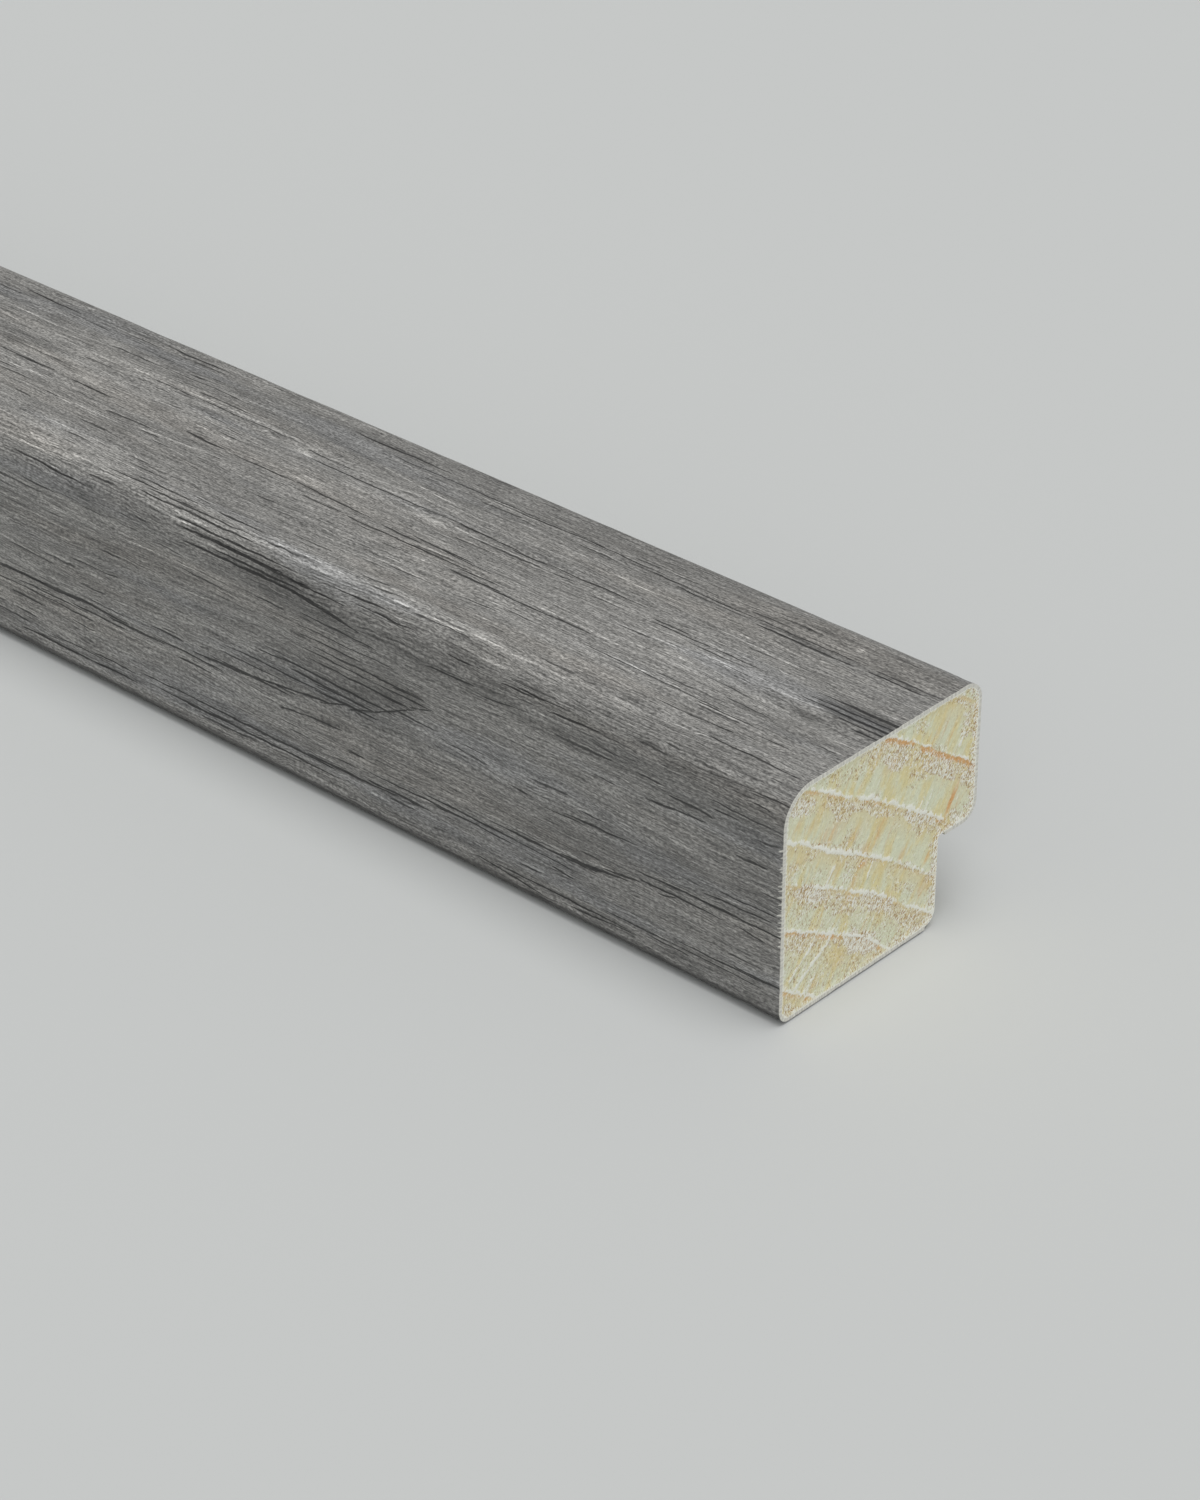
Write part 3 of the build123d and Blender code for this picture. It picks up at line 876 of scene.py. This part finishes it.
# The marks of the show end, with ragged edges
ragged = streaks(tree, flow, length=2.2, width=0.3, roughness=0.7, shift=4)
dark_level = mark_level(tree, along, wobble, dark_marks)
dark_line = between(tree, add_share(tree, dark_level, ragged, 1.0), 0.0, 0.4)
# Pale marks, partly print and partly painted highlights beside the major cracks
light_level = mark_level(tree, along, wobble, pale_marks_and_highlights)
light_line = between(tree, add_share(tree, light_level, ragged, 1.3), 0.05, 0.6)

patch_strength = product(tree, read_note(tree, "patch_tone").outputs["Fac"], 1.6)
tone = product(
    tree,
    broad,
    narrow,
    fibre,
    speck,
    painted_foot_shade,
    math_of(tree, "ADD", 1.0, patch_strength),
    # painted highlight beside each crack
    toned(tree, crack_painted_highlight, 1.2),
    toned(tree, pore, 0.6),
    toned(tree, scratch, 1.45),
    toned(tree, crack, 0.3),
    toned(tree, light_line, 1.7),
    toned(tree, dark_line, 0.16),
)
warmth = streaks(tree, flow, length=45, width=5, shift=5)
hue = blend(tree, between(tree, warmth, 0.5, 0.68), paint(*print_grey), paint(*print_warm))
hue = blend(tree, between(tree, warmth, 0.46, 0.32), hue, paint(*print_cool))
colour = blend(tree, 1.0, hue, grey_of(tree, tone), "MULTIPLY")

# White slivers where the saw chipped the print off the front's cut edge, and the white paper inside the cut
chip_slant, chip_width, longest_chip, cut_line = 0.5, 0.4, 0.55, 0.05
slanted = math_of(tree, "ADD", up, product(tree, along, chip_slant))
slanted_place = add_node(tree, "ShaderNodeCombineXYZ", {0: 0.0, 1: slanted, 2: 0.0}).outputs[0]
chips = streaks(tree, slanted_place, length=1, width=chip_width, detail=1, shift=17)
sliver = between(tree, chips, 0.5, 0.66, 0.0, longest_chip)
on_front = product(tree, between(tree, up, 6, 9), between(tree, up, 20, 18))
reach = math_of(tree, "ADD", product(tree, sliver, on_front), cut_line)
chipped = between(tree, math_of(tree, "SUBTRACT", reach, along), -cut_line, cut_line)
paper_grain = streaks(tree, strip, length=0.3, width=0.3, roughness=0.6, shift=6)
into_cut = add_share(tree, read_note(tree, "into_cut").outputs["Fac"], paper_grain, 0.9)
paper = math_of(tree, "MAXIMUM", chipped, between(tree, into_cut, 0.2, 0.35))
paper_shade = grey_of(tree, carried(tree, paper_grain, 0.72, 1.08))
paper_colour = blend(tree, 1.0, paint(*paper_white), paper_shade, "MULTIPLY")
tree.links.new(blend(tree, paper, colour, paper_colour), shader.inputs["Base Color"])

# Fine relief and sheen. The marks stay out of the relief, because they are pressed into the mesh.
relief = add_share(tree, product(tree, speck_noise, 0.7), fibre_noise, 0.6)
press_in(tree, shader, math_of(tree, "SUBTRACT", relief, product(tree, crack, 0.6)), 0.08, 0.8)
tree.links.new(carried(tree, speck_noise, 0.5, 0.64), shader.inputs["Roughness"])
foil.data.materials.append(printed)

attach(foil, "root")
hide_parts("decor_foil")

# Floor, light and camera
# A wide pale table top in an evenly lit room. One lamp hangs over the moulding, so that its shadow stays
# close to the foot, and a wider one stands off the show end and the front.
floor_size = 12.0
floor_drop = 0.0002
floor_grey = (198, 200, 199)
half = floor_size / 2
corners = [(-half, -half), (half, -half), (half, half), (-half, half)]
floor_mesh = bpy.data.meshes.new("pale_board")
floor_mesh.from_pydata([(x, y, -floor_drop) for x, y in corners], [], [(0, 1, 2, 3)])
floor = bpy.data.objects.new("pale_board", floor_mesh)
bpy.context.scene.collection.objects.link(floor)
board, tree, shader = new_finish("pale_matt_board", 0.95)
shader.inputs["Base Color"].default_value = paint(*floor_grey)
shader.inputs["Specular IOR Level"].default_value = 0.0
floor_mesh.materials.append(board)

room_light = 0.3
world = bpy.data.worlds.new("white_room")
world.use_nodes = True
background = world.node_tree.nodes["Background"]
background.inputs["Color"].default_value = (1, 1, 1, 1)
background.inputs["Strength"].default_value = room_light
bpy.context.scene.world = world


def hang_lamp(name, light, width, height, bearing):
    """A broad lamp far off: its light on a face turned to it, and its width, height and bearing in degrees."""
    lamp = bpy.data.lights.new(name, "SUN")
    lamp.energy = light * math.pi
    lamp.angle = math.radians(width)
    height, bearing = math.radians(height), math.radians(bearing)
    level = math.cos(height)
    lamp_from = Vector((level * math.cos(bearing), level * math.sin(bearing), math.sin(height)))
    hung = bpy.data.objects.new(name, lamp)
    hung.rotation_euler = lamp_from.to_track_quat("Z", "Y").to_euler()
    bpy.context.scene.collection.objects.link(hung)


hang_lamp("overhead_lamp", light=0.513, width=40, height=80, bearing=0)
hang_lamp("fill_lamp", light=0.34, width=50, height=35, bearing=-42)

# The camera stands off the show end, in front and above, at the photograph's angle
view_height_px, focal_px = 1500, 4135
camera_bearing, camera_dip = math.radians(132.116), math.radians(31.389)
camera_from_end, camera_before_front, camera_over_floor = 0.2050, 0.2523, 0.2292
camera_data = bpy.data.cameras.new("camera")
camera_data.sensor_fit = "VERTICAL"
camera_data.sensor_height = 36.0
camera_data.lens = camera_data.sensor_height * focal_px / view_height_px
camera_data.clip_start = 0.01
camera_data.clip_end = 50.0
camera = bpy.data.objects.new("camera", camera_data)
show_end_x, front_y = foil_high.x * mm, foil_low.y * mm
camera.location = (show_end_x + camera_from_end, front_y - camera_before_front, camera_over_floor)
level = math.cos(camera_dip)
looks = Vector((level * math.cos(camera_bearing), level * math.sin(camera_bearing), -math.sin(camera_dip)))
camera.rotation_euler = looks.to_track_quat("-Z", "Y").to_euler()
bpy.context.scene.collection.objects.link(camera)
bpy.context.scene.camera = camera
bpy.context.scene.view_settings.view_transform = "Standard"
